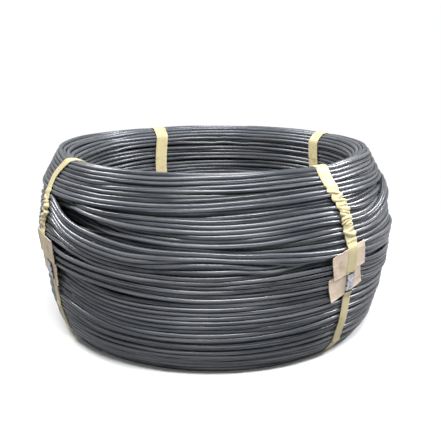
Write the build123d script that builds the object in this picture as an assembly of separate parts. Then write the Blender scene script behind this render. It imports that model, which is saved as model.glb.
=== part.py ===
"""Strapped coil of wire rod, lying on its end, with four sleeved steel straps and their pads.

Everything is in millimetres. The coil's axis is +Z and its lowest sleeves stand on Z = 0.
"""
import os
from math import cos, degrees, radians, sqrt

from build123d import *

# Coil of wire
wire_diameter = 11.0
bore_radius = 365.0
wall_build = 110.0            # radial build of the coil where it is widest
coil_height = 466.0           # between the crests of the lowest and the highest turns
turn_rise = 2.8               # how far a turn's crest stands above the groove beside it
lay_width = 56.0              # height of a lay of turns on the wall
lay_groove = 7.0              # how deep the wall falls back between two lays
lay_overhang = 0.28           # share of a lay's width taken by the groove under the lay above

# Outline of the wound section
mouth_width = 21.0            # rounded edge of the bore, measured outwards
mouth_drop = 23.0             # the same edge, measured down the bore
ridge_width = 22.0            # narrow flat run of turns on top
foot_width = 24.0             # flat run of turns at the bottom
shoulder_inset = 15.0         # upper shoulder, in from the widest radius
shoulder_drop = 94.0          # upper shoulder, down from the top
belly_drop = 187.0            # height lost from the top down to the widest radius
hip_inset = 22.0              # lower hip, in from the widest radius
hip_height = 92.0
ankle_inset = 38.0            # last bend above the foot
ankle_height = 36.0

# Steel straps and their seals
strap_width = 25.0
strap_thickness = 0.9
strap_bite = 1.0              # depth that a tensioned strap presses into the turns
seal_wall = 0.5
seal_height = 39.0
seal_centre_height = 196.0
seal_notch_depth = 3.0        # crimped into each edge of the seal
seal_notch_pitch = 15.0
lap_length = 51.0             # overlapped strap ends held by the seal
fit_clearance = 0.05          # between a strap and what wraps around it

# Plastic sleeves over the straps
sleeve_wall = 0.5
wide_sleeve_width = 39.0
narrow_sleeve_width = 29.0
sleeve_window = 57.0          # bare stretch of strap around the seal
bore_joint_height = 230.0     # where the two sleeves meet inside the bore
bore_joint_gap = 4.0
seat_clearance = 0.3          # beside a sleeve, in the groove that it presses

# Cardboard pads under the straps
pad_thickness = 1.5
pad_width = 112.0
pad_height = 62.0
lower_pad_bottom = 170.0
pad_overlap = 12.0
pad_bends = 5                 # flat facets that a pad is bent into round the wall; an odd number
pad_edge_margin = 7.0         # the strap leaves the pads this far past their edges

# Strap stations, as angles around the axis
front_angle = -47.5
left_angle = -151.0
right_angle = 33.0
back_angle = 118.0

strap_bend = 5.0              # length cut off each corner where a strap bends over the ends

strap_gap = sleeve_wall + fit_clearance                     # seat line to strap
sleeve_total = 2 * strap_gap + strap_thickness              # through a sleeve and its strap
stand_height = sleeve_total - strap_bite                    # lowest turns above the floor
coil_radius = bore_radius + wall_build
coil_top = stand_height + coil_height

# Corners of the hull that touches the crests of the turns, as (radius, height)
bore_top = Vector(bore_radius, coil_top - mouth_drop)
ridge_inner = Vector(bore_radius + mouth_width, coil_top)
ridge_outer = Vector(bore_radius + mouth_width + ridge_width, coil_top)
shoulder = Vector(coil_radius - shoulder_inset, coil_top - shoulder_drop)
belly = Vector(coil_radius, coil_top - belly_drop)
hip = Vector(coil_radius - hip_inset, stand_height + hip_height)
ankle = Vector(coil_radius - ankle_inset, stand_height + ankle_height)
foot_inner = Vector(bore_radius + mouth_width, stand_height)
foot_outer = Vector(bore_radius + mouth_width + foot_width, stand_height)
bore_bottom = Vector(bore_radius, stand_height + mouth_drop)

upper_pad_bottom = lower_pad_bottom + pad_height - pad_overlap
upper_pad_top = upper_pad_bottom + pad_height


def point_on(line_start, line_end, height):
    """Point at a height on the straight run between two corners."""
    share = (height - line_start.Y) / (line_end.Y - line_start.Y)
    return line_start + (line_end - line_start) * share


def grown(face, amount):
    """The face with every side moved outwards by an amount."""
    return offset(face, amount, kind=Kind.INTERSECTION)


def inset_corners(corners, amount):
    """Corners of a closed run moved inwards; the run goes clockwise."""
    moved = []
    for index, corner in enumerate(corners):
        before = (corner - corners[index - 1]).normalized()
        after = (corners[(index + 1) % len(corners)] - corner).normalized()
        inward = Vector(before.Y, -before.X) + Vector(after.Y, -after.X)
        moved.append(corner + inward * (amount / (1 + before.dot(after))))
    return moved


def turn_row(start, end, count):
    """Corners of turns lying side by side from start to end, each with a groove and a crest."""
    step = (end - start) / count
    crest = Vector(-step.Y, step.X).normalized() * turn_rise
    corners = []
    for n in range(count):
        corners += [start + step * n, start + step * (n + 0.5) + crest]
    return corners


def lays_between(start, end):
    """Corners of lays down the wall from start, each with a crest and the groove under it."""
    count = max(1, round((end - start).length / lay_width))
    step = (end - start) / count
    fall = Vector(step.Y, -step.X).normalized() * lay_groove
    corners = []
    for n in range(count):
        corners += [start + step * n, start + step * (n + lay_overhang) + fall]
    return corners


def turns_between(start, end):
    return turn_row(start, end, max(1, round((end - start).length / wire_diameter)))


hull = [bore_top, ridge_inner, ridge_outer, shoulder, belly, hip, ankle, foot_outer,
        foot_inner, bore_bottom]
# The hull's corners at the bottom of the grooves between turns, of which the two ends use five
(groove_bore_top, groove_ridge_inner, groove_ridge_outer, *_,
 groove_foot_outer, groove_foot_inner, _) = inset_corners(hull, turn_rise)

# Section of the coil: single turns show on both ends, lays of turns on the wall between them
coil_section = make_face(Polyline(
    Vector(bore_radius, groove_bore_top.Y),
    *turns_between(groove_bore_top, groove_ridge_inner),
    *turns_between(groove_ridge_inner, groove_ridge_outer),
    groove_ridge_outer,
    *lays_between(ridge_outer, shoulder)[2:],
    *lays_between(shoulder, belly),
    *lays_between(belly, hip),
    *lays_between(hip, ankle),
    *lays_between(ankle, foot_outer),
    *turns_between(groove_foot_outer, groove_foot_inner),
    groove_foot_inner,
    bore_bottom,
    close=True,
))
wire_coil = revolve(Plane.XZ * coil_section, Axis.Z)

# Line that a strap is pulled along: the hull, pressed in by the bite, and lifted over the pads
seat_corners = inset_corners(hull, strap_bite)
lift = Vector(2 * pad_thickness, 0)
over_pads_top = point_on(belly, hip, upper_pad_top + pad_edge_margin) + lift
over_pads_bottom = point_on(belly, hip, lower_pad_bottom - pad_edge_margin) + lift
seat_corners[4:5] = [over_pads_top, over_pads_bottom]
ridge_middle = bore_radius + mouth_width + ridge_width / 2
seat_face = make_face(Polyline(*seat_corners, close=True))
end_corners = seat_face.vertices().filter_by(lambda v: v.Y > shoulder.Y or v.Y < ankle.Y)
seat_face = chamfer(end_corners, strap_bend)


def band_loop(near, far, width):
    """Closed band around the section, between two distances out from the seat line."""
    inside = grown(seat_face, near) if near else seat_face
    return extrude(Plane.XZ * (grown(seat_face, far) - inside), width / 2, both=True)


zone_top = coil_top + 2 * wire_diameter
zone_bottom = -2 * wire_diameter


def wall_zone(low, high):
    """Everything on the outer side of the section between two heights."""
    return Pos(ridge_middle, 0, low) * Box(
        wall_build, 2 * wide_sleeve_width, high - low, align=(Align.MIN, Align.CENTER, Align.MIN))


def bore_zone(low, high):
    """Everything on the bore's side of the section between two heights."""
    return Pos(ridge_middle, 0, low) * Box(
        wall_build, 2 * wide_sleeve_width, high - low, align=(Align.MAX, Align.CENTER, Align.MIN))


window_top = seal_centre_height + sleeve_window / 2
window_bottom = seal_centre_height - sleeve_window / 2
joint_top = bore_joint_height + bore_joint_gap / 2
joint_bottom = bore_joint_height - bore_joint_gap / 2

# Strap, with its two ends lapped under the seal
lap = band_loop(strap_gap + strap_thickness, strap_gap + 2 * strap_thickness, strap_width)
lap &= wall_zone(seal_centre_height - lap_length / 2, seal_centre_height + lap_length / 2)
strap = band_loop(strap_gap, strap_gap + strap_thickness, strap_width) + lap

# Seal folded around the lap, with a crimped notch in each edge at both ends
seal_depth = strap_gap + 2 * strap_thickness + fit_clearance + seal_wall
seal_width = strap_width + 2 * (fit_clearance + seal_wall)
seal_zone = wall_zone(seal_centre_height - seal_height / 2, seal_centre_height + seal_height / 2)
seal_cavity = band_loop(seal_wall, seal_depth - seal_wall, strap_width + 2 * fit_clearance)
seal = band_loop(0, seal_depth, seal_width) & seal_zone
seal -= seal_cavity
notch_side = seal_notch_depth * sqrt(2)
for edge in (-seal_width / 2, seal_width / 2):
    for rise in (-seal_notch_pitch / 2, seal_notch_pitch / 2):
        seal -= Pos(coil_radius, edge, seal_centre_height + rise) * Rot(X=45) * Box(
            wall_build, notch_side, notch_side)


def sleeve_around_strap(width):
    cavity = band_loop(sleeve_wall, sleeve_total - sleeve_wall, strap_width + 2 * fit_clearance)
    return band_loop(0, sleeve_total, width) - cavity


# The wide sleeve runs over the top of the coil, and the narrow one underneath it
wide_sleeve = sleeve_around_strap(wide_sleeve_width)
wide_sleeve -= wall_zone(zone_bottom, window_top) + bore_zone(zone_bottom, joint_top)
narrow_sleeve = sleeve_around_strap(narrow_sleeve_width)
narrow_sleeve -= wall_zone(window_bottom, zone_top) + bore_zone(joint_bottom, zone_top)

# Groove that the two sleeves press into the turns
seat_depth = 3 * sleeve_total
wide_seat = band_loop(0, seat_depth, wide_sleeve_width + 2 * seat_clearance)
wide_seat -= wall_zone(zone_bottom, seal_centre_height) + bore_zone(zone_bottom, bore_joint_height)
narrow_seat = band_loop(0, seat_depth, narrow_sleeve_width + 2 * seat_clearance)
narrow_seat -= wall_zone(seal_centre_height, zone_top) + bore_zone(bore_joint_height, zone_top)


def pad(bottom, layers_below):
    """Piece of cardboard bent around the wall of the coil, on top of the layers below it."""
    facet_angle = degrees(pad_width / coil_radius) / pad_bends
    bends = [facet_angle * (n - pad_bends / 2) for n in range(pad_bends + 1)]
    over_corner = 1 / cos(radians(facet_angle / 2))
    outlines = []
    for height in (bottom, bottom + pad_height):
        near = point_on(belly, hip, height).X + layers_below * pad_thickness
        far = near + pad_thickness
        inner = [Vector(near * over_corner, 0, height).rotate(Axis.Z, bend) for bend in bends]
        outer = [Vector(far * over_corner, 0, height).rotate(Axis.Z, bend) for bend in bends]
        outlines.append(make_face(Polyline(*inner, *reversed(outer), close=True)))
    return loft(outlines, ruled=True)


lower_pad = pad(lower_pad_bottom, 0)
upper_pad = pad(upper_pad_bottom, 1)

stations = {"front": front_angle, "left": left_angle, "right": right_angle, "back": back_angle}
station_pieces = {
    "strap": strap,
    "seal": seal,
    "wide_sleeve": wide_sleeve,
    "narrow_sleeve": narrow_sleeve,
    "upper_pad": upper_pad,
    "lower_pad": lower_pad,
}

wire_coil -= [Rot(Z=angle) * seat for angle in stations.values() for seat in (wide_seat, narrow_seat)]

os.makedirs("parts", exist_ok=True)
export_step(wire_coil, "parts/wire_coil.step")
for station, angle in stations.items():
    for piece, shape in station_pieces.items():
        export_step(Rot(Z=angle) * shape, f"parts/{station}_{piece}.step")
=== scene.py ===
import math

import bpy
import numpy as np
from mathutils import Matrix, Vector


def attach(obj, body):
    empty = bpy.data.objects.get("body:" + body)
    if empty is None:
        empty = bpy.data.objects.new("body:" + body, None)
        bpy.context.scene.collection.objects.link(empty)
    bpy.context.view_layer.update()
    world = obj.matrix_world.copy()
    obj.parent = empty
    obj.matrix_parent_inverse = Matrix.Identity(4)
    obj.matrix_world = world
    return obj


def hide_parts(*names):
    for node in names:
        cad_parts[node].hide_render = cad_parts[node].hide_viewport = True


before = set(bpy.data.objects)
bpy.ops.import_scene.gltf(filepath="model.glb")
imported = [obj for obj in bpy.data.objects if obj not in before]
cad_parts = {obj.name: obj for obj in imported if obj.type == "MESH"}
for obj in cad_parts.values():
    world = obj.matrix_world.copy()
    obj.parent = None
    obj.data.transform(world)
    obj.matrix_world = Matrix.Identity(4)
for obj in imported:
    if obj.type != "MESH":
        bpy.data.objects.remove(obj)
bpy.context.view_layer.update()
bpy.ops.object.select_all(action="DESELECT")

# Sizes, in millimetres as on the drawing
METRE = 1000.0
WIRE = 11.0
# Corners of the hull that touches the turns, clockwise from the bore's upper mouth, as (radius, height)
HULL = np.array([(365, 444), (386, 467), (408, 467), (460, 373), (475, 280), (453, 93), (437, 37),
                 (410, 1), (386, 1), (365, 24)], float)
WALL = HULL[2:9][::-1]                # the hull's outer side, from the foot up to the ridge
RIDGE_MIDDLE = (397, 467)
BORE_RADIUS = HULL[0, 0]
BORE_JOINT, JOINT_GAP = 230.0, 4.0    # where the two sleeves meet in the bore
SEAL_HEIGHT, SEAL_WINDOW = 196.0, 57.0
STRAP_WIDTH, STRAP_WALL, STRAP_LAP = 25.0, 0.7, 51.0
WIDE_SLEEVE, NARROW_SLEEVE, SLEEVE_WALL = 38.0, 29.0, 0.45
PAD_WIDTH, PAD_WALL = 112.0, 1.5
PAD_TOP, PAD_LOW, PAD_BOTTOM = 282.0, 220.0, 170.0
PAD_RADIUS = 470.0                    # of the wall under the pads
TURN_WAVE = 0.571                     # one wave for each turn of wire, in radians for a millimetre
STATIONS = {"front": -47.5, "left": -151.0, "right": 33.0, "back": 118.0}

# How finely the turns are worked out
SLICES = 216
THETA = np.arange(SLICES) * 2 * np.pi / SLICES
AZIMUTH = (np.degrees(THETA) + 180) % 360 - 180
ROUNDS = 150
dice = np.random.default_rng(7)


# Curves that the pieces follow
def smooth_through(xs, ys, at):
    """Smooth curve through the points (xs, ys), read at the places given."""
    gap = np.diff(xs)[:, None]
    rise = np.diff(ys, axis=0) / gap
    weight = gap[1:] / (gap[1:] + gap[:-1])
    slope = np.zeros_like(ys)
    slope[1:-1] = weight * rise[:-1] + (1 - weight) * rise[1:]
    slope[0], slope[-1] = rise[0], rise[-1]
    k = np.clip(np.searchsorted(xs, at, side="right") - 1, 0, len(xs) - 2)
    t = ((at - xs[k]) / gap[k, 0])[:, None]
    leaving, arriving = slope[k] * gap[k], slope[k + 1] * gap[k]
    return ((2 * t**3 - 3 * t**2 + 1) * ys[k] + (t**3 - 2 * t**2 + t) * leaving
            + (3 * t**2 - 2 * t**3) * ys[k + 1] + (t**3 - t**2) * arriving)


def round_the_coil(points):
    """Values at every slice, smooth through (azimuth, value, ...) points and closed on itself."""
    points = sorted(((azimuth + 180) % 360 - 180, *values) for azimuth, *values in points)
    points = np.array(points, float)
    xs, ys = points[:, 0], points[:, 1:]
    xs = np.concatenate([xs[-2:] - 360, xs, xs[:2] + 360])
    ys = np.concatenate([ys[-2:], ys, ys[:2]])
    return smooth_through(xs, ys, AZIMUTH)


def bell(centre, reach):
    """A swell about one azimuth, 1 in its middle and fading over the reach, both in degrees."""
    return np.exp(-(((AZIMUTH - centre + 180) % 360 - 180) / reach) ** 2)


def unit(rows):
    """Each row with its length made 1."""
    return rows / np.hypot(*rows.T)[:, None]


def distances(line):
    """Distance of each point along a line from its start."""
    return np.concatenate([[0], np.cumsum(np.hypot(*np.diff(line, axis=0).T))])


# The hull as a path, from the middle of the top ridge outwards and down the wall
PATH = np.vstack([RIDGE_MIDDLE, HULL[2:], HULL[:2], RIDGE_MIDDLE])
ALONG = distances(PATH)
GIRTH = ALONG[-1]
EDGES = unit(np.diff(PATH, axis=0))
FACING = np.stack([-EDGES[:, 1], EDGES[:, 0]], 1)
# The facing swings round this near a corner, but at least this share of each edge keeps its own
CORNER_RUN, LEAST_FLAT = 9.0, 0.2


def on_hull(s, depth):
    """Point at distance s along the hull and a depth inside it, as (radius, height)."""
    s = np.mod(s, GIRTH)
    place = np.stack([np.interp(s, ALONG, PATH[:, 0]), np.interp(s, ALONG, PATH[:, 1])], -1)
    keys, angles = [], []
    for start, end, angle in zip(ALONG[:-1], ALONG[1:], np.unwrap(np.arctan2(FACING[:, 1], FACING[:, 0]))):
        half = (end - start) / 2
        flat = max(half - CORNER_RUN, half * LEAST_FLAT)
        keys += [start + half - flat, start + half + flat]
        angles += [angle, angle]
    facing = np.interp(s, keys, angles)
    return place - np.stack([np.cos(facing), np.sin(facing)], -1) * np.asarray(depth)[..., None]


# The winding
# Each lay of turns: how many, then (azimuth, path distance of first and last turn, depth under the hull)
LAYS = {
    "crown": (9, [
        (-163, 8, 98, -6), (-157, 8, 98, -1), (-146, 8, 98, 0), (-135, 8, 97, 0), (-124, 8, 96, -1),
        (-108, 7, 95, -2), (-95, 4, 90, -2), (-83, 0, 85, -1), (-68, -5, 80, -1), (-49, -6, 78, 0),
        (-41, -3, 81, -1), (-20, 4, 84, -3), (-5, 8, 88, -4), (10, 8, 90, -2), (33, 8, 90, 0),
        (75, 8, 84, 0), (118, 8, 90, 0), (138, 8, 94, -2), (160, 8, 96, -7), (180, 8, 98, -8)
    ]),
    "neck": (3, [
        (-176, 110, 146, 3), (-165, 104, 136, 12), (-157, 92, 122, 18), (-151, 84, 108, 20),
        (-146, 80, 102, 22), (-140, 80, 102, 22), (-134, 90, 108, 20), (-127, 98, 112, 16),
        (-107, 99, 113, 13), (-95, 99, 112, 8), (-83, 95, 112, 5), (-69, 91, 108, 4), (-52, 90, 106, 4),
        (-46, 92, 110, 3), (-38, 86, 105, 2), (-28, 84, 102, 3), (-20, 86, 104, 8), (-10, 92, 114, 10),
        (10, 100, 126, 6), (33, 104, 134, 0), (75, 94, 120, 3), (118, 102, 128, 0), (160, 112, 132, 8)
    ]),
    "pair": (3, [
        (-176, 138, 162, 4), (-165, 128, 150, 16), (-157, 112, 134, 22), (-151, 104, 120, 26),
        (-146, 90, 102, 30), (-140, 92, 102, 26), (-137, 101, 107, 13), (-134, 108, 115, 2),
        (-131, 112, 121, -1), (-124, 116, 126, -2.5), (-116, 116, 132, -3), (-108, 115, 135, -3),
        (-94, 119, 142, -2.5), (-84, 117, 139, -2), (-76, 115, 136, -1), (-67, 110, 131, 0),
        (-52, 112, 132, 0), (-46, 126, 142, -1), (-40, 126, 142, -2), (-36, 122, 136, -1),
        (-32, 118, 129, 3), (-26, 113, 124, 11), (-20, 112, 124, 14), (-10, 120, 140, 10),
        (10, 140, 162, 3), (33, 140, 170, 0), (75, 126, 156, 0), (118, 134, 162, 0), (160, 136, 156, 12)
    ]),
    "sag": (3, [
        (-176, 160, 184, 6), (-165, 150, 172, 18), (-157, 140, 158, 30), (-151, 132, 148, 42),
        (-146, 128, 142, 50), (-140, 126, 142, 50), (-134, 130, 150, 42), (-127, 136, 152, 20),
        (-118, 142, 160, 8), (-107, 145, 165, 4), (-94, 151, 169, -1), (-84, 150, 170, -1),
        (-76, 148, 168, -2), (-65, 139, 161, -2), (-52, 138, 158, -1), (-46, 154, 167, 0),
        (-40, 156, 169, 0), (-33, 150, 166, -2), (-27, 133, 155, -5), (-22, 115, 144, -7),
        (-17, 98, 132, -8), (-10, 90, 124, -7), (0, 102, 136, -4), (10, 126, 158, -1), (33, 166, 196, 0),
        (75, 150, 182, 0), (118, 158, 190, 0), (160, 146, 168, 12)
    ]),
    "under_sag": (4, [
        (-176, 172, 200, 14), (-165, 158, 190, 24), (-151, 142, 160, 46), (-140, 144, 160, 50),
        (-134, 148, 166, 42), (-127, 156, 172, 26), (-118, 164, 180, 14), (-107, 168, 184, 11),
        (-94, 172, 182, 12), (-86, 176, 188, 10), (-78, 177, 193, 8), (-70, 174, 197, 6),
        (-60, 170, 202, 3), (-52, 168, 205, 0), (-46, 178, 204, 1), (-38, 180, 203, 1),
        (-30, 176, 203, 0), (-22, 160, 203, -2), (-10, 150, 200, -2), (10, 178, 214, 2),
        (33, 190, 220, 0), (75, 172, 208, 2), (118, 178, 212, 5), (160, 160, 190, 12)
    ]),
    "slant": (4, [
        (-165, 126, 166, 0), (-157, 108, 148, 0), (-151, 106, 144, 0), (-147, 118, 154, -1),
        (-143, 145, 176, -2), (-138, 158, 188, -3), (-133, 165, 195, -3), (-127, 169, 200, -3),
        (-116, 185, 213, -3), (-109, 188, 212, -3), (-101, 186, 206, -3), (-94, 185, 199, -3),
        (-86, 192, 206, -3), (-76, 201, 214, -3), (-65, 208, 219, -2), (-55, 213, 224, -1),
        (-49, 213, 229, -1), (-38, 209, 238, -3), (-20, 210, 248, -8), (-5, 215, 256, -8),
        (10, 226, 262, -2), (33, 230, 268, 0), (75, 220, 258, 0), (118, 222, 258, 0), (160, 168, 205, 0)
    ]),
    "below_slant": (5, [
        (-157, 162, 212, 0), (-151, 160, 204, 0), (-147, 166, 204, 1), (-142, 188, 206, 2),
        (-137, 198, 213, 2), (-132, 204, 220, 1), (-127, 208, 232, 1), (-116, 221, 240, 3),
        (-107, 219, 244, 3), (-94, 210, 247, 1), (-84, 214, 242, 2), (-76, 220, 238, 6),
        (-70, 221, 236, 9), (-63, 221, 231, 14), (-55, 222, 236, 17), (-47, 226, 240, 15),
        (-36, 240, 254, 12), (-20, 246, 262, 12), (10, 256, 284, 9), (33, 264, 300, 0),
        (75, 258, 296, 4), (118, 260, 300, 0), (160, 208, 256, 0)
    ]),
    "belly": (5, [
        (-157, 230, 278, 0), (-145, 240, 272, -2), (-128, 247, 278, -2), (-113, 254, 288, -1),
        (-107, 255, 292, 0), (-94, 257, 299, 0), (-84, 255, 298, 0), (-76, 253, 298, 0),
        (-65, 249, 296, -1), (-55, 249, 297, -1), (-46, 252, 300, -1), (-36, 264, 308, -5),
        (-20, 270, 314, -10), (-5, 270, 314, -10), (10, 266, 310, -3), (33, 286, 328, 3),
        (75, 288, 332, 0), (118, 292, 338, 0), (160, 264, 312, 0)
    ]),
    "hip": (8, [
        (-157, 292, 360, 3), (-145, 284, 352, 9), (-136, 292, 368, 8), (-126, 303, 380, 4),
        (-114, 308, 388, 0), (-100, 311, 388, 0), (-88, 311, 388, 0), (-70, 309, 384, 0),
        (-49, 311, 378, 0), (-20, 325, 388, -4), (-5, 325, 392, -4), (10, 320, 394, 0),
        (33, 334, 402, 0), (75, 342, 412, 0), (118, 348, 410, 0), (160, 324, 392, 0)
    ]),
    "base": (12, [
        (-157, 370, 498, 0), (-145, 362, 500, 0), (-126, 392, 500, 0), (-107, 398, 500, 0),
        (-88, 398, 500, 0), (-49, 388, 498, 0), (-20, 398, 500, 0), (33, 412, 500, 0), (75, 422, 500, 0),
        (118, 420, 498, 0), (160, 402, 500, 0)
    ]),
}
# Hollows where the turns underneath lie deep: azimuth, path distance, their two reaches, and depth
HOLLOWS = [
    (-143, 126, 11, 28, 70), (-133, 145, 9, 18, 40), (-127, 282, 12, 12, 12), (-29, 121, 7, 11, 26),
    (-20, 260, 8, 10, 22), (-112, 105, 22, 8, 16), (-75, 86, 16, 6, 10), (-57, 234, 13, 10, 22),
    (-95, 175, 13, 5, 12), (-92, 239, 9, 5, 12), (-90, 306, 14, 4, 10), (-75, 222, 22, 6, 8),
    (55, 110, 14, 7, 12), (165, 994, 26, 12, 16), (-165, 960, 22, 8, 10)
]
BURIED_COUNT, BURIED_DEPTH = 72, 18.5
CROWN_START = 8                       # path distance of the crown's first turn where the bore's have room
BORE_START, BORE_END, BORE_SPACING = 509.0, GIRTH - 3.0, WIRE + 0.5
BORE_DEPTH, BORE_SLACK = WIRE / 2 + 0.3, 3.0  # slack is how much looser the turns may lie at the back
LIP = GIRTH - 20                      # path distance at which the mouth's edge begins
# A gap opens under that edge on the left: azimuth and reach in degrees, width, and where it starts to open
GAP_AZIMUTH, GAP_REACH, GAP_WIDTH, GAP_START, GAP_RUN = 168, 24, 10, 930, 50
# How the turns settle: the share of each correction that one round makes, at first and towards the end
STRAIGHTEN, STRAIGHTEN_LATE, LAST_ROUNDS = 0.25, 0.125, 15
DRAW_BACK, DRAW_BACK_LATE, LATE_FROM = 0.06, 0.02, 0.6
PUSH_APART = 0.42
NEAR, SEARCH_EVERY = 1.7 * WIRE, 10   # pairs nearer than this are watched, and found anew so many rounds apart
STRAP_PINCH, PINCH_REACH = 1.7, 4.5   # how deep the straps press the turns in, and over how many degrees


def waviness(count, size, low, high):
    """How far each turn strays on its way round: a few waves of random size."""
    stray = np.zeros((count, SLICES))
    for k in range(low, high + 1):
        amount = dice.normal(0, size / k, (count, 2))
        stray += amount[:, :1] * np.cos(k * THETA) + amount[:, 1:] * np.sin(k * THETA)
    return stray


def turns_of_lay(count, points):
    """Wished centre lines of a lay's turns, and how far each may stand proud of the hull."""
    line = round_the_coil(points)
    share = np.linspace(0, 1, count)[:, None]
    s = line[:, 0] * (1 - share) + line[:, 1] * share + waviness(count, size=1.3, low=2, high=8)
    squeeze = np.clip(1 - np.abs(line[:, 1] - line[:, 0]) / (count - 1) / WIRE, 0, 1)
    under = (np.arange(count) % 2)[:, None] * squeeze * WIRE
    depth = WIRE / 2 + line[:, 2] + under + np.abs(waviness(count, size=1.2, low=2, high=7))
    return on_hull(s, depth), np.clip(-line[:, 2], 0, None) * np.ones((count, 1))


def turns_of_bore():
    """Wished centre lines of the turns from the foot up the bore and over the mouth's edge."""
    count = int((BORE_END - BORE_START) / BORE_SPACING) + 1
    crown_start = round_the_coil(LAYS["crown"][1])[:, 0]
    crowded = np.minimum(crown_start - CROWN_START, 0)
    share = np.linspace(0, 1, count)[:, None]
    s = BORE_START + (BORE_END + crowded - BORE_START) * share + waviness(count, size=2.6, low=1, high=6)
    parted = GAP_WIDTH * bell(GAP_AZIMUTH, GAP_REACH)
    below_lip = parted * np.clip((s - GAP_START) / GAP_RUN, 0, 1) * (s < LIP)
    s = s - below_lip + 0.3 * parted * (s >= LIP)
    slack = BORE_SLACK * np.clip(1.4 * np.sin(THETA - 0.4), 0, 1)
    depth = BORE_DEPTH + np.abs(waviness(count, size=1.4, low=1, high=5))
    depth = depth + slack * dice.random((count, 1))
    return on_hull(s, depth)


def turns_beneath():
    """Wished centre lines of the buried turns, deep where the shown ones leave a hollow."""
    s = (np.arange(BURIED_COUNT) * GIRTH / BURIED_COUNT)[:, None]
    s = s + waviness(BURIED_COUNT, size=6.0, low=1, high=5)
    depth = BURIED_DEPTH + np.abs(waviness(BURIED_COUNT, size=2.0, low=1, high=5))
    for azimuth, place, reach, width, sink in HOLLOWS:
        depth = depth + sink * bell(azimuth, reach) * np.exp(-((s - place) / width) ** 2)
    return on_hull(s, depth)


def lay_turns():
    """Wished lines as (turn, slice, (radius, height)), how far each turn may stand proud, and its lay."""
    wish, proud, lay = [], [], []
    for name, (count, points) in LAYS.items():
        lines, stand = turns_of_lay(count, points)
        wish.append(lines)
        proud.append(stand)
        lay += [name] * count
    for name, lines in (("bore", turns_of_bore()), ("buried", turns_beneath())):
        wish.append(lines)
        proud.append(np.zeros((len(lines), SLICES)))
        lay += [name] * len(lines)
    return np.concatenate(wish), np.concatenate(proud), np.array(lay)


def neighbours(place):
    """Pairs of turns that come close, and the table that hands a push to both turns of a pair."""
    close = np.zeros((len(place), len(place)), bool)
    for j in range(0, SLICES, 3):
        close |= np.hypot(*np.moveaxis(place[:, None, j] - place[None, :, j], -1, 0)) < NEAR
    first, second = np.nonzero(np.triu(close, 1))
    share = np.zeros((len(place), len(first)), np.float32)
    share[first, np.arange(len(first))] = 1
    share[second, np.arange(len(first))] -= 1
    return first, second, share


def settle(wish, proud):
    """Pushes the turns apart until none cuts another, inside the hull and springy along their length."""
    wish = wish.astype(np.float32)
    place = wish.copy()
    path, facing = PATH.astype(np.float32), FACING.astype(np.float32)
    pinch = sum(STRAP_PINCH * bell(azimuth, PINCH_REACH) for azimuth in STATIONS.values())
    limit = (WIRE / 2 + pinch[None] - proud * (1 - np.minimum(pinch, 1)[None])).astype(np.float32)
    for step in range(ROUNDS):
        if step % SEARCH_EVERY == 0:
            first, second, share = neighbours(place)
        spring = STRAIGHTEN if step < ROUNDS - LAST_ROUNDS else STRAIGHTEN_LATE
        pull = DRAW_BACK if step < ROUNDS * LATE_FROM else DRAW_BACK_LATE
        place += (np.roll(place, 1, 1) + np.roll(place, -1, 1) - 2 * place) * np.float32(spring)
        place += (wish - place) * np.float32(pull)
        for _ in range(2):
            gap = place[first] - place[second]
            apart = np.maximum(np.sqrt(gap[..., 0] ** 2 + gap[..., 1] ** 2), 1e-3)
            push = np.clip(WIRE - apart, 0, None) / apart * np.float32(PUSH_APART)
            place += (share @ (gap * push[..., None]).reshape(len(first), -1)).reshape(place.shape)
            for corner, outward in zip(path, facing):
                past = (place - corner) @ outward + limit
                place -= np.clip(past, 0, None)[..., None] * outward
    return place


def bend_turns(name, lines, sides, tones):
    """Round wires bent along the lines as closed rings, and made one mesh."""
    curve = bpy.data.curves.new(name, "CURVE")
    curve.dimensions = "3D"
    curve.bevel_depth = WIRE / 2 / METRE
    curve.bevel_resolution = (sides - 4) // 2
    curve.twist_mode = "Z_UP"
    for radius, height in zip(lines[..., 0] / METRE, lines[..., 1] / METRE):
        ring = curve.splines.new("POLY")
        ring.points.add(SLICES - 1)
        points = np.stack([radius * np.cos(THETA), radius * np.sin(THETA), height, np.ones(SLICES)], -1)
        ring.points.foreach_set("co", points.ravel())
        ring.use_cyclic_u = True
    piece = bpy.data.objects.new(name, curve)
    bpy.context.scene.collection.objects.link(piece)
    bpy.ops.object.select_all(action="DESELECT")
    piece.select_set(True)
    bpy.context.view_layer.objects.active = piece
    bpy.ops.object.convert(target="MESH")
    piece = bpy.context.view_layer.objects.active
    bpy.ops.object.shade_smooth()
    mark_turns(piece.data, len(lines), sides, tones)
    return piece


def mark_turns(mesh, count, sides, tones):
    """What the finish reads: each turn's tone, which also carries painted light and shade, and places along
    and around the wire for its patterns.
    """
    each = len(mesh.vertices) // count
    place = np.empty(len(mesh.vertices) * 3, np.float32)
    mesh.vertices.foreach_get("co", place)
    swing = np.arctan2(place[1::3], place[0::3])
    turn = np.repeat(np.arange(count), each)
    around = np.arange(len(mesh.vertices)) % sides * 2 * np.pi / sides
    tone = mesh.attributes.new("turn_tone", "FLOAT", "POINT")
    tone.data.foreach_set("value", np.repeat(tones, each).astype(np.float32))
    patch_size, patch_step = 0.42, 0.31
    streak_size, streak_step, streak_turn = 0.45, 7.3, 0.35
    patterns = {
        "along_wire": (patch_size * np.cos(swing), patch_size * np.sin(swing), patch_step * turn),
        "around_wire": (
            streak_size * np.cos(swing),
            streak_size * np.sin(swing) + streak_step * turn + streak_turn * np.cos(around),
            streak_turn * np.sin(around),
        ),
    }
    for label, pattern in patterns.items():
        marks = mesh.attributes.new(label, "FLOAT_VECTOR", "POINT")
        marks.data.foreach_set("vector", np.stack(pattern, -1).astype(np.float32).ravel())


# Strapping
OUTSIDE = 440.0                       # points of the route further out than this are on the wall
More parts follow.
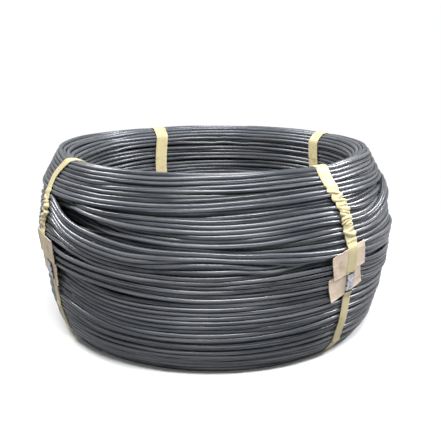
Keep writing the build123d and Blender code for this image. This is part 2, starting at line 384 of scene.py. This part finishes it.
# Heights between which a strap rides on its pads, and over how many millimetres it climbs there
ON_PADS_LOW, ON_PADS_TOP, ON_PADS_RUN = PAD_BOTTOM - 11.0, PAD_TOP + 10.0, 6.0
ROUTE_STEP, ROUTE_ROUNDING = 0.5, 14  # the rounding of its corners is counted in steps
ROUTE_SINK, FLOOR_GAP = 0.2, 0.02     # how deep the route lies in the turns, and least height over the floor


def strap_route():
    """Line that every strap is pulled along, from the joint in the bore over the top and back."""
    top, bottom = (BORE_RADIUS, BORE_JOINT + JOINT_GAP / 2), (BORE_RADIUS, BORE_JOINT - JOINT_GAP / 2)
    corners = np.vstack([top, HULL, bottom])
    dense = []
    for start, end in zip(corners[:-1], corners[1:]):
        count = max(2, int(np.hypot(*(end - start)) / ROUTE_STEP))
        dense.append(start + (end - start) * np.linspace(0, 1, count, endpoint=False)[:, None])
    line = np.vstack(dense + [corners[-1:]])
    margin = 3 * ROUTE_ROUNDING
    kernel = np.exp(-(np.arange(-margin, margin + 1) / ROUTE_ROUNDING) ** 2)
    kernel /= kernel.sum()
    padded = np.vstack([np.repeat(line[:1], margin, 0), line, np.repeat(line[-1:], margin, 0)])
    line = np.stack([np.convolve(padded[:, k], kernel, "valid") for k in (0, 1)], -1)
    step = unit(np.gradient(line, axis=0))
    facing = np.stack([-step[:, 1], step[:, 0]], -1)
    height = line[:, 1]
    over_pads = (line[:, 0] > OUTSIDE) * np.clip((height - ON_PADS_LOW) / ON_PADS_RUN, 0, 1)
    over_pads = over_pads * np.clip((ON_PADS_TOP - height) / ON_PADS_RUN, 0, 1)
    line = line + facing * (2 * PAD_WALL * over_pads[:, None] - ROUTE_SINK)
    return line, facing, distances(line)


ROUTE, ROUTE_FACING, ROUTE_AT = strap_route()
ROUTE_END = ROUTE_AT[-1]
# Lean of each strap out of the upright, in degrees, at distances along its route
LEAN = {
    "front": [
        (0, -0.5), (120, -2), (243, -4.8), (268, -5.4), (310, -4.4), (372, -2.4), (440, -0.6), (520, 0),
        (640, 0.1), (720, -0.3), (790, -0.4), (1020, -0.5)
    ],
    "left": [
        (0, 3), (150, 4.0), (243, 4.0), (262, 1.5), (285, -2.0), (312, -5.0), (335, -5), (372, -2.5),
        (396, -1.6), (420, -3.6), (438, -4.2), (470, -1.6), (520, 0), (600, 0.5), (700, 1), (860, 2.5),
        (1020, 3)
    ],
    "right": [
        (0, 0), (120, 0.8), (243, 1.5), (268, 0.8), (372, -1.5), (520, 0), (640, 0.8), (760, 0.4),
        (1020, 0)
    ],
    "back": [
        (0, 0), (120, -0.6), (243, -1.4), (268, -1.2), (372, 0.9), (520, 0), (640, -0.8), (760, 0),
        (1020, 0)
    ],
}


def height_to_route(height):
    """Distance along the route at which a strap passes a height on the outer wall."""
    outside = ROUTE[:, 0] > OUTSIDE
    return float(np.interp(-height, -ROUTE[outside][:, 1], ROUTE_AT[outside]))


def on_route(station, s, sideways, height):
    """Point on a strap's route: distance along it, distance to its right, height off the turns."""
    s, sideways, height = np.broadcast_arrays(np.asarray(s, float), sideways, height)
    lean = np.array(LEAN[station], float)
    turn = smooth_through(lean[:, 0], lean[:, 1:], np.clip(s.ravel(), lean[0, 0], lean[-1, 0]))
    turn = turn[:, 0].reshape(s.shape)
    r = np.interp(s, ROUTE_AT, ROUTE[:, 0]) + height * np.interp(s, ROUTE_AT, ROUTE_FACING[:, 0])
    z = np.interp(s, ROUTE_AT, ROUTE[:, 1]) + height * np.interp(s, ROUTE_AT, ROUTE_FACING[:, 1])
    a = np.radians(STATIONS[station] + turn) + sideways / np.interp(s, ROUTE_AT, ROUTE[:, 0])
    return np.stack([r * np.cos(a), r * np.sin(a), np.maximum(z, FLOOR_GAP)], -1)


def face_outwards(seam):
    """Turns the active piece's faces outwards, after closing its seam if it has one."""
    bpy.ops.object.mode_set(mode="EDIT")
    bpy.ops.mesh.select_all(action="SELECT")
    if seam:
        bpy.ops.mesh.remove_doubles(threshold=0.000002)
    bpy.ops.mesh.normals_make_consistent(inside=False)
    bpy.ops.object.mode_set(mode="OBJECT")


def wrap_grid(name, places, closed, wall):
    """A film, card or band: a grid laid on the places, closed into a tube if asked, and given its wall."""
    rows, columns = places.shape[:2]
    bpy.ops.object.select_all(action="DESELECT")
    bpy.ops.mesh.primitive_grid_add(
        x_subdivisions=columns - 1, y_subdivisions=rows - 1, size=2.0, location=(0, 0, 0))
    piece = bpy.context.active_object
    piece.name = piece.data.name = name
    grid = np.empty(rows * columns * 3, np.float32)
    piece.data.vertices.foreach_get("co", grid)
    column = np.rint((grid[0::3] + 1) / 2 * (columns - 1)).astype(int)
    row = np.rint((grid[1::3] + 1) / 2 * (rows - 1)).astype(int)
    piece.data.vertices.foreach_set("co", (places[row, column] / METRE).astype(np.float32).ravel())
    face_outwards(closed)
    walls = piece.modifiers.new("wall", "SOLIDIFY")
    walls.thickness = wall / METRE
    walls.offset = -1.0
    walls.use_even_offset = False
    bpy.ops.object.modifier_apply(modifier="wall")
    face_outwards(False)
    bpy.ops.object.shade_smooth_by_angle(angle=math.radians(40))
    return piece


def slackness(strength):
    """How slack a bunched stretch of sleeve is, from the height of its folds."""
    return min(strength / 5, 1.2)


def crumple(s, v, bunched, seed):
    """Beads that a slack sleeve bunches up into, at distance s and across at v: their height and swell."""
    pick = np.random.default_rng(seed)
    fold, swell = np.zeros_like(s), np.zeros_like(s)
    for low, high, strength in bunched:
        place = low + pick.uniform(0, 3)
        while place < high:
            length = pick.uniform(6.5, 14.0)
            slant, bow, size = pick.uniform(-6.0, 6.0), pick.uniform(-3.5, 3.5), pick.uniform(0.6, 1.25)
            crest = place + length / 2 + slant * v + bow * (v * v - 0.4) + 0.8 * np.sin(5.1 * v + place)
            bead = np.sqrt(np.clip(1 - ((s - crest) / (length / 2)) ** 2, 0, 1))
            lobe = (1 - 0.3 * v * v) * (1 + 0.30 * np.sin(2.9 * v + place * 1.7))
            fold = np.maximum(fold, bead * lobe * strength * size)
            swell = np.maximum(swell, bead * size * slackness(strength))
            place += length * pick.uniform(0.82, 1.0)
    return fold, swell


def sleeve_rows(start, end, bunched):
    """Distances along a sleeve at which its grid has a row, five times closer where it is bunched."""
    probe = np.linspace(start, end, 4000)
    weight = np.full(len(probe), 1.0)
    for low, high, _ in bunched:
        weight += 4.0 * ((probe > low - 4) & (probe < high + 4))
    share = np.concatenate([[0], np.cumsum((weight[1:] + weight[:-1]) / 2)])
    count = int((end - start) * 0.24 + sum(high - low for low, high, _ in bunched)) + 12
    return np.interp(np.linspace(0, 1, count), share / share[-1], probe)[:, None]


def sleeve_section():
    """Places across a flattened tube, over its face and back underneath, and which of them are the face."""
    count, round_edge = 15, 0.94
    face = np.sin(np.linspace(-1, 1, count) * np.pi / 2 * round_edge) / np.sin(np.pi / 2 * round_edge)
    back = face[::-1][1:-1:2]
    across = np.concatenate([face, back, face[:1]])
    upper = np.concatenate([np.ones(count), np.zeros(len(back)), [1.0]])
    return across[None], upper[None]


def slip_on_sleeve(name, station, start, end, width, bunched, seed, ragged):
    """A flattened plastic tube around its strap, bunched up where it is slack, with ragged ends."""
    along = sleeve_rows(start, end, bunched)
    v, upper = sleeve_section()
    s = np.broadcast_to(along, (len(along), v.shape[1])).copy()
    teeth = np.random.default_rng(seed + 50).normal(0, 1, (2, 12))
    teeth_at = np.linspace(-1, 1, teeth.shape[1])
    s += ragged[0] * np.interp(v, teeth_at, teeth[0]) * np.exp(-(s - start) / 6)
    s += ragged[1] * np.interp(v, teeth_at, teeth[1]) * np.exp(-(end - s) / 6)
    fold, swell = crumple(s, v + 0 * s, bunched, seed)
    slack = sum(slackness(strength) / (1 + np.exp(-(s - low) / 3)) / (1 + np.exp((s - high) / 3))
                for low, high, strength in bunched)
    half = width / 2 * (1 - 0.22 * slack + 0.20 * swell)
    rim = np.clip(1 - np.abs(v), 0, 1) ** 0.5
    ripple = 0.22 * np.sin(s * 0.11 + seed) * np.sin(s * 0.031 + 2 * v + seed)
    puff = 0.35 + 0.95 * np.clip(rim * 2, 0, 1) + ripple * rim + fold * np.clip(rim * 1.6, 0.25, 1)
    height = upper * puff - (1 - upper)
    folded = fold.max(1, keepdims=True) > 1
    sway = 0.9 * np.sin(s * 0.045 + seed)
    sway = sway + sum(1.6 * np.sin(s * 0.33 + seed * k) / (k + 1) * folded for k in (0, 1))
    return wrap_grid(name, on_route(station, s, v * half + sway, height), True, SLEEVE_WALL)


def bind_strap(name, station):
    """A flat steel band around the wound section, its two ends lapped under the seal."""
    start = height_to_route(SEAL_HEIGHT) - STRAP_LAP / 2
    rows, climb, off_turns = 560, 12, 0.15
    s = np.linspace(start, start + STRAP_LAP + ROUTE_END, rows)
    rise = np.clip((s - (start + ROUTE_END - climb)) / climb, 0, 1)
    s, v = np.meshgrid(np.where(s > ROUTE_END, s - ROUTE_END, s), (-1, -0.33, 0.33, 1), indexing="ij")
    places = on_route(station, s, v * STRAP_WIDTH / 2, off_turns + rise[:, None])
    return wrap_grid(name, places, False, STRAP_WALL)


def cut_pad(name, station, low, high, skew, shift, lift, seed):
    """A piece of card laid over the turns, its corners standing off a little."""
    rows, columns = 26, 40
    t = np.linspace(-1, 1, rows)[:, None]
    u = np.linspace(-1, 1, columns)[None]
    cosine, sine = np.cos(np.radians(skew)), np.sin(np.radians(skew))
    half_width, half_height = PAD_WIDTH / 2, (high - low) / 2
    across = u * cosine * half_width - t * sine * half_height + shift
    across = across + 0.8 * np.sin(t * 3.3 + seed) * np.abs(u) ** 8
    upward = (low + high) / 2 + t * cosine * half_height + u * sine * half_width
    upward = upward + 0.9 * np.sin(u * 3.1 + seed) * np.abs(t) ** 6
    upward = upward + 0.6 * np.sin(u * 9 + seed) * np.abs(t) ** 8
    curl = np.random.default_rng(seed).uniform(0.3, 1.0, 4)
    corner = (curl[0] * (1 - t) * (1 - u) + curl[1] * (1 - t) * (1 + u)
              + curl[2] * (1 + t) * (1 - u) + curl[3] * (1 + t) * (1 + u)) / 4
    side_bend = 3.4 * corner * np.clip((np.abs(u) - 0.45) / 0.55, 0, 1) ** 2
    end_bend = 1.3 * corner * np.clip((np.abs(t) - 0.6) / 0.4, 0, 1) ** 2
    print_of_turns = 0.35 * np.sin(upward * TURN_WAVE + u) * np.clip(np.abs(u) - 0.3, 0, 1)
    off = lift + PAD_WALL + side_bend + end_bend + print_of_turns
    r = np.interp(upward, WALL[:, 1], WALL[:, 0]) + off
    a = np.radians(STATIONS[station]) + across / PAD_RADIUS
    return wrap_grid(name, np.stack([r * np.cos(a), r * np.sin(a), upward + 0 * a], -1), False, PAD_WALL)


# Finishes
def finish(name):
    look = bpy.data.materials.new(name)
    look.use_nodes = True
    return look, look.node_tree.nodes, look.node_tree.links, look.node_tree.nodes["Principled BSDF"]


def grime_and_sheen_group():
    """Patches of dust and rubbed skin, and the painted highlight streaks on the wires, shared by the finishes.
    """
    group = bpy.data.node_groups.new("dust_rub_and_sheen", "ShaderNodeTree")
    for label, value in (("Scale", 20.0), ("Low", 0.4), ("High", 0.6)):
        socket = group.interface.new_socket(label, in_out="INPUT", socket_type="NodeSocketFloat")
        socket.default_value = value
    group.interface.new_socket("Vector", in_out="INPUT", socket_type="NodeSocketVector")
    group.interface.new_socket("Mask", in_out="OUTPUT", socket_type="NodeSocketFloat")
    group.interface.new_socket("Height", in_out="OUTPUT", socket_type="NodeSocketFloat")
    nodes, links = group.nodes, group.links
    ins, outs = nodes.new("NodeGroupInput"), nodes.new("NodeGroupOutput")
    noise = nodes.new("ShaderNodeTexNoise")
    noise.inputs["Detail"].default_value = 6
    noise.inputs["Roughness"].default_value = 0.62
    links.new(ins.outputs["Vector"], noise.inputs["Vector"])
    links.new(ins.outputs["Scale"], noise.inputs["Scale"])
    step = nodes.new("ShaderNodeMapRange")
    step.interpolation_type = "SMOOTHSTEP"
    links.new(noise.outputs["Fac"], step.inputs["Value"])
    links.new(ins.outputs["Low"], step.inputs["From Min"])
    links.new(ins.outputs["High"], step.inputs["From Max"])
    links.new(step.outputs["Result"], outs.inputs["Mask"])
    links.new(noise.outputs["Fac"], outs.inputs["Height"])
    return group


GRIME_AND_SHEEN = grime_and_sheen_group()


def add_grime_or_sheen(nodes, links, vector, scale, low, high):
    """The shared patches, placed in one finish with its own values."""
    node = nodes.new("ShaderNodeGroup")
    node.node_tree = GRIME_AND_SHEEN
    for socket, value in (("Scale", scale), ("Low", low), ("High", high)):
        node.inputs[socket].default_value = value
    links.new(vector, node.inputs["Vector"])
    return node


def object_place(nodes):
    return nodes.new("ShaderNodeTexCoord").outputs["Object"]


def read_mark(nodes, label, socket):
    """What mark_turns wrote on the turns under a label."""
    node = nodes.new("ShaderNodeAttribute")
    node.attribute_name = label
    return node.outputs[socket]


def blend_colors(nodes, links, factor, first, second):
    """Mix of two colours, each of them a value or another mix."""
    mix = nodes.new("ShaderNodeMix")
    mix.data_type = "RGBA"
    for socket, value in ((mix.inputs["A"], first), (mix.inputs["B"], second)):
        if isinstance(value, tuple):
            socket.default_value = (*value, 1)
        else:
            links.new(value, socket)
    links.new(factor, mix.inputs["Factor"])
    return mix.outputs["Result"]


def combine(nodes, links, operation, first, second):
    """Product or maximum of two values, the second of them a number or a socket."""
    node = nodes.new("ShaderNodeMath")
    node.operation = operation
    links.new(first, node.inputs[0])
    if isinstance(second, float):
        node.inputs[1].default_value = second
    else:
        links.new(second, node.inputs[1])
    return node.outputs[0]


def spread(nodes, links, value, low, high):
    """A value from 0 to 1 spread from low to high."""
    node = nodes.new("ShaderNodeMapRange")
    node.inputs["To Min"].default_value = low
    node.inputs["To Max"].default_value = high
    links.new(value, node.inputs["Value"])
    return node.outputs["Result"]


def roughen(nodes, links, skin, height, strength, distance):
    """Fine relief on a finish."""
    bump = nodes.new("ShaderNodeBump")
    bump.inputs["Strength"].default_value = strength
    bump.inputs["Distance"].default_value = distance
    links.new(height, bump.inputs["Height"])
    links.new(bump.outputs["Normal"], skin.inputs["Normal"])


def wire_finish():
    look, nodes, links, skin = finish("drawn_wire")
    patches = add_grime_or_sheen(nodes, links, read_mark(nodes, "along_wire", "Vector"), 5.0, 0.38, 0.66)
    # Mask of the lengthwise streaks, partly die lines and partly painted highlights
    streaks = add_grime_or_sheen(nodes, links, read_mark(nodes, "around_wire", "Vector"), 5.0, 0.46, 0.68)
    fine = add_grime_or_sheen(nodes, links, object_place(nodes), 210.0, 0.35, 0.70)
    tone = read_mark(nodes, "turn_tone", "Fac")
    # Each turn's tone: random, with painted light and shade by its lay and place
    base = blend_colors(nodes, links, tone, (0.014, 0.017, 0.023), (0.082, 0.092, 0.109))
    # Light grey lengthwise streaks: partly the drawn wire's die lines, partly painted highlight streaks
    base = blend_colors(nodes, links, streaks.outputs["Mask"], base, (0.215, 0.225, 0.245))
    dull = combine(nodes, links, "MULTIPLY", patches.outputs["Mask"], 0.4)
    base = blend_colors(nodes, links, dull, base, (0.17, 0.172, 0.178))
    links.new(base, skin.inputs["Base Color"])
    skin.inputs["Metallic"].default_value = 0.2
    links.new(spread(nodes, links, streaks.outputs["Height"], 0.14, 0.40), skin.inputs["Roughness"])
    roughen(nodes, links, skin, fine.outputs["Height"], 0.18, 0.0006)
    return look


def strap_finish():
    look, nodes, links, skin = finish("black_lacquered_strap")
    rub = add_grime_or_sheen(nodes, links, object_place(nodes), 160.0, 0.55, 0.72)
    base = blend_colors(nodes, links, rub.outputs["Mask"], (0.016, 0.017, 0.019), (0.11, 0.105, 0.10))
    links.new(base, skin.inputs["Base Color"])
    skin.inputs["Roughness"].default_value = 0.38
    skin.inputs["Metallic"].default_value = 0.2
    return look


def seal_finish():
    look, nodes, links, skin = finish("pressed_seal")
    rub = add_grime_or_sheen(nodes, links, object_place(nodes), 120.0, 0.42, 0.68)
    base = blend_colors(nodes, links, rub.outputs["Mask"], (0.64, 0.65, 0.70), (0.24, 0.24, 0.26))
    links.new(base, skin.inputs["Base Color"])
    skin.inputs["Metallic"].default_value = 0.8
    links.new(spread(nodes, links, rub.outputs["Height"], 0.28, 0.5), skin.inputs["Roughness"])
    return look


def sleeve_finish():
    look, nodes, links, skin = finish("cream_sleeve")
    soil = add_grime_or_sheen(nodes, links, object_place(nodes), 34.0, 0.50, 0.74)
    creases = add_grime_or_sheen(nodes, links, object_place(nodes), 130.0, 0.4, 0.7)
    base = blend_colors(nodes, links, soil.outputs["Mask"], (0.62, 0.54, 0.31), (0.43, 0.34, 0.18))
    links.new(base, skin.inputs["Base Color"])
    skin.inputs["Roughness"].default_value = 0.42
    skin.inputs["Specular IOR Level"].default_value = 0.4
    roughen(nodes, links, skin, creases.outputs["Height"], 0.30, 0.002)
    return look


def card_finish():
    look, nodes, links, skin = finish("brown_card")
    fibre = add_grime_or_sheen(nodes, links, object_place(nodes), 95.0, 0.3, 0.7)
    stain = add_grime_or_sheen(nodes, links, object_place(nodes), 22.0, 0.48, 0.70)
    base = blend_colors(nodes, links, fibre.outputs["Mask"], (0.68, 0.545, 0.42), (0.76, 0.64, 0.515))
    base = blend_colors(nodes, links, stain.outputs["Mask"], base, (0.55, 0.42, 0.305))
    links.new(base, skin.inputs["Base Color"])
    skin.inputs["Roughness"].default_value = 0.88
    roughen(nodes, links, skin, fibre.outputs["Height"], 0.25, 0.001)
    return look


# The coil
# How much lighter or darker than most a lay is: painted light on the crown and on the proud pair and slant,
# painted shade on the sunk neck, on the lays lying under others and on the buried turns
LAY_LIGHT_AND_SHADE = {"pair": 0.35, "slant": 0.25, "crown": 0.1, "neck": -0.2, "under_sag": -0.3, "below_slant": -0.3,
           "buried": -0.4}
# The lays in each piece, and how many sides its wires have
SETS = {
    "turns_crown": (("crown", "neck", "pair"), 8),
    "turns_wall": (("sag", "under_sag", "slant", "below_slant", "belly"), 8),
    "turns_foot": (("hip", "base"), 8),
    "turns_bore": (("bore",), 6),
    "turns_buried": (("buried",), 4),
}


def tone_turns(lay):
    """Tone of each turn, from 0 for the darkest, with painted light on the bore's top turns near the mouth,
    where the lamps reach them, and a little painted shade on its other turns down inside.
    """
    middle, scatter = 0.45, 0.28
    rank = np.cumsum(lay == "bore") / np.sum(lay == "bore")
    # Painted light on the bore's top turns at the mouth, and a little painted shade on the rest of the bore
    bore_light_and_shade = np.where(lay == "bore", 0.75 * np.clip((rank - 0.66) / 0.3, 0, 1) - 0.1, 0)
    # Painted light and shade of each turn's lay
    lighter = np.array([LAY_LIGHT_AND_SHADE.get(name, 0.0) for name in lay])
    return np.clip(dice.normal(middle, scatter, len(lay)) + lighter + bore_light_and_shade, 0, 1.3)


wish, proud, lay = lay_turns()
lines = settle(wish, proud)
tones = tone_turns(lay)
wire_look = wire_finish()
for name, (lays, sides) in SETS.items():
    chosen = np.isin(lay, lays)
    piece = bend_turns(name, lines[chosen], sides, tones[chosen])
    piece.data.materials.append(wire_look)
    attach(piece, "root")
    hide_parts("wire_coil")

# Straps, sleeves, seals and pads
# Where each station's wide and narrow sleeves bunch up: start and end of a stretch, and height of its folds
BUNCHES = {
    "front": ([(302, 307, 1.6), (322, 420, 4.6), (438, 443, 1.6)], [(706, 712, 1.8)]),
    "left": ([(345, 352, 2.0), (366, 432, 6.0)], [(640, 646, 1.5), (700, 712, 1.6)]),
    "right": ([(150, 156, 1.2), (340, 432, 4.0)], [(668, 676, 1.6)]),
    "back": ([(322, 384, 4.0), (440, 470, 3.0)], [(630, 640, 1.8)]),
}
# How far each upper and lower pad sits out of square, in degrees
TILTS = {"front": (13.0, 15.0), "left": (-5.0, -12.0), "right": (6.0, -3.0), "back": (-4.0, 7.0)}
WIDE_END = height_to_route(SEAL_HEIGHT + SEAL_WINDOW / 2) + 4
NARROW_START = height_to_route(SEAL_HEIGHT - SEAL_WINDOW / 2) - 3


def dress_station(station, number):
    """The new pieces of one binding, by the name of the solid that each of them replaces."""
    wide_folds, narrow_folds = BUNCHES[station]
    upper_tilt, lower_tilt = TILTS[station]
    return {
        "strap": bind_strap(station + "_strap_band", station),
        "wide_sleeve": slip_on_sleeve(
            station + "_wide_film", station, 0.0, WIDE_END, WIDE_SLEEVE, wide_folds,
            11 + number, (0.5, 3.0)),
        "narrow_sleeve": slip_on_sleeve(
            station + "_narrow_film", station, NARROW_START, ROUTE_END - 2, NARROW_SLEEVE, narrow_folds,
            31 + number, (1.6, 0.5)),
        "upper_pad": cut_pad(
            station + "_upper_card", station, PAD_LOW + 1, PAD_TOP + 1, upper_tilt, -10.0, PAD_WALL,
            3 + number),
        "lower_pad": cut_pad(
            station + "_lower_card", station, PAD_BOTTOM - 2, PAD_LOW + 7, lower_tilt, -12.0, 0.0,
            23 + number),
    }


strap_look, seal_look, sleeve_look, card_look = strap_finish(), seal_finish(), sleeve_finish(), card_finish()
looks = {
    "strap": (strap_look, "strap_steel"),
    "wide_sleeve": (sleeve_look, "sleeve_plastic"),
    "narrow_sleeve": (sleeve_look, "sleeve_plastic"),
    "upper_pad": (card_look, "pad_card"),
    "lower_pad": (card_look, "pad_card"),
}
for number, station in enumerate(STATIONS):
    for key, piece in dress_station(station, number).items():
        piece.data.materials.append(looks[key][0])
        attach(piece, "root")
        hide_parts(station + "_" + key)
    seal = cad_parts[station + "_seal"]
    seal.data.materials.clear()
    seal.data.materials.append(seal_look)

# Floor, light and camera
# The floor turns white between these distances from the coil's axis, in metres
FLOOR_WHITE_FROM, FLOOR_WHITE_TO = 0.62, 1.5
FLOOR_MIRRORED, ROOM_MIRRORED = 0.2, 0.36     # how much of each the wires mirror
ROOM_LIGHT = 0.12
WHITE = (1, 1, 1, 1)


def studio_seen(nodes, links, mirrored):
    """How much of the white studio a ray meets: a camera ray all of it, a mirrored ray the share given."""
    rays = nodes.new("ShaderNodeLightPath")
    dim = combine(nodes, links, "MULTIPLY", rays.outputs["Is Glossy Ray"], mirrored)
    return combine(nodes, links, "MAXIMUM", rays.outputs["Is Camera Ray"], dim)


def floor_finish():
    """Pale floor, shaded by the coil and fading to white away from it."""
    look, nodes, links, skin = finish("pale_floor")
    distance = nodes.new("ShaderNodeVectorMath")
    distance.operation = "LENGTH"
    links.new(object_place(nodes), distance.inputs[0])
    far = nodes.new("ShaderNodeMapRange")
    far.interpolation_type = "SMOOTHSTEP"
    far.inputs["From Min"].default_value = FLOOR_WHITE_FROM
    far.inputs["From Max"].default_value = FLOOR_WHITE_TO
    links.new(distance.outputs["Value"], far.inputs["Value"])
    seen = studio_seen(nodes, links, FLOOR_MIRRORED)
    white = combine(nodes, links, "MULTIPLY", seen, far.outputs["Result"])
    glow = nodes.new("ShaderNodeEmission")
    glow.inputs["Color"].default_value = WHITE
    glow.inputs["Strength"].default_value = 1.0
    tint = blend_colors(nodes, links, seen, (0.27, 0.27, 0.28), (0.88, 0.88, 0.88))
    links.new(tint, skin.inputs["Base Color"])
    skin.inputs["Roughness"].default_value = 0.95
    skin.inputs["Specular IOR Level"].default_value = 0.1
    both = nodes.new("ShaderNodeMixShader")
    links.new(white, both.inputs["Fac"])
    links.new(skin.outputs["BSDF"], both.inputs[1])
    links.new(glow.outputs["Emission"], both.inputs[2])
    links.new(both.outputs["Shader"], nodes["Material Output"].inputs["Surface"])
    return look


def light_room():
    """White surroundings that light the coil only a little."""
    world = bpy.data.worlds.new("studio")
    bpy.context.scene.world = world
    world.use_nodes = True
    nodes, links = world.node_tree.nodes, world.node_tree.links
    level = spread(nodes, links, studio_seen(nodes, links, ROOM_MIRRORED), ROOM_LIGHT, 1.0)
    links.new(level, nodes["Background"].inputs["Strength"])
    nodes["Background"].inputs["Color"].default_value = WHITE


def hang_lamp(name, place, aim, size, power):
    lamp = bpy.data.lights.new(name, "AREA")
    lamp.shape = "RECTANGLE"
    lamp.size, lamp.size_y = size
    lamp.energy = power
    holder = bpy.data.objects.new(name, lamp)
    bpy.context.scene.collection.objects.link(holder)
    holder.location = place
    holder.rotation_euler = (Vector(aim) - Vector(place)).to_track_quat("-Z", "Y").to_euler()


bpy.ops.object.select_all(action="DESELECT")
bpy.ops.mesh.primitive_plane_add(size=60, location=(0, 0, 0))
floor = bpy.context.active_object
floor.name = "studio_floor"
floor.data.materials.append(floor_finish())
light_room()
hang_lamp("ceiling_panel", (0.2, -1.5, 2.9), (0, 0, 0.3), (1.9, 0.45), 124)
hang_lamp("right_window", (2.7, 0.5, 2.1), (0, 0, 0.3), (0.9, 0.9), 118)
hang_lamp("front_window", (-0.6, -3.4, 1.5), (0, 0, 0.25), (1.6, 1.2), 19)
hang_lamp("left_window", (-1.9, 0.9, 2.5), (0, 0, 0.4), (0.7, 0.8), 74)

# Camera of the photograph, its place in radii of the coil
COIL_RADIUS = 0.475
CAMERA_BACK, CAMERA_UP = 3.977, 1.611
FOCAL_PIXELS, FRAME_PIXELS, SENSOR_WIDTH = 700, 441, 36
pitch, pan, roll = math.radians(15.08), math.radians(0.54), math.radians(0.27)

lens = bpy.data.cameras.new("photo_view")
lens.sensor_width = SENSOR_WIDTH
lens.sensor_fit = "HORIZONTAL"
lens.lens = FOCAL_PIXELS / FRAME_PIXELS * SENSOR_WIDTH
lens.clip_end = 200
camera = bpy.data.objects.new("photo_view", lens)
bpy.context.scene.collection.objects.link(camera)
ahead = np.array([math.sin(pan) * math.cos(pitch), math.cos(pan) * math.cos(pitch), -math.sin(pitch)])
right = np.array([math.cos(pan), -math.sin(pan), 0.0])
up = np.cross(right, ahead)
x_axis = right * math.cos(roll) - up * math.sin(roll)
y_axis = right * math.sin(roll) + up * math.cos(roll)
place = (0, -CAMERA_BACK * COIL_RADIUS, CAMERA_UP * COIL_RADIUS)
camera.matrix_world = Matrix([*zip(x_axis, y_axis, -ahead, place), (0, 0, 0, 1)])
bpy.context.scene.camera = camera
bpy.context.scene.view_settings.view_transform = "Standard"
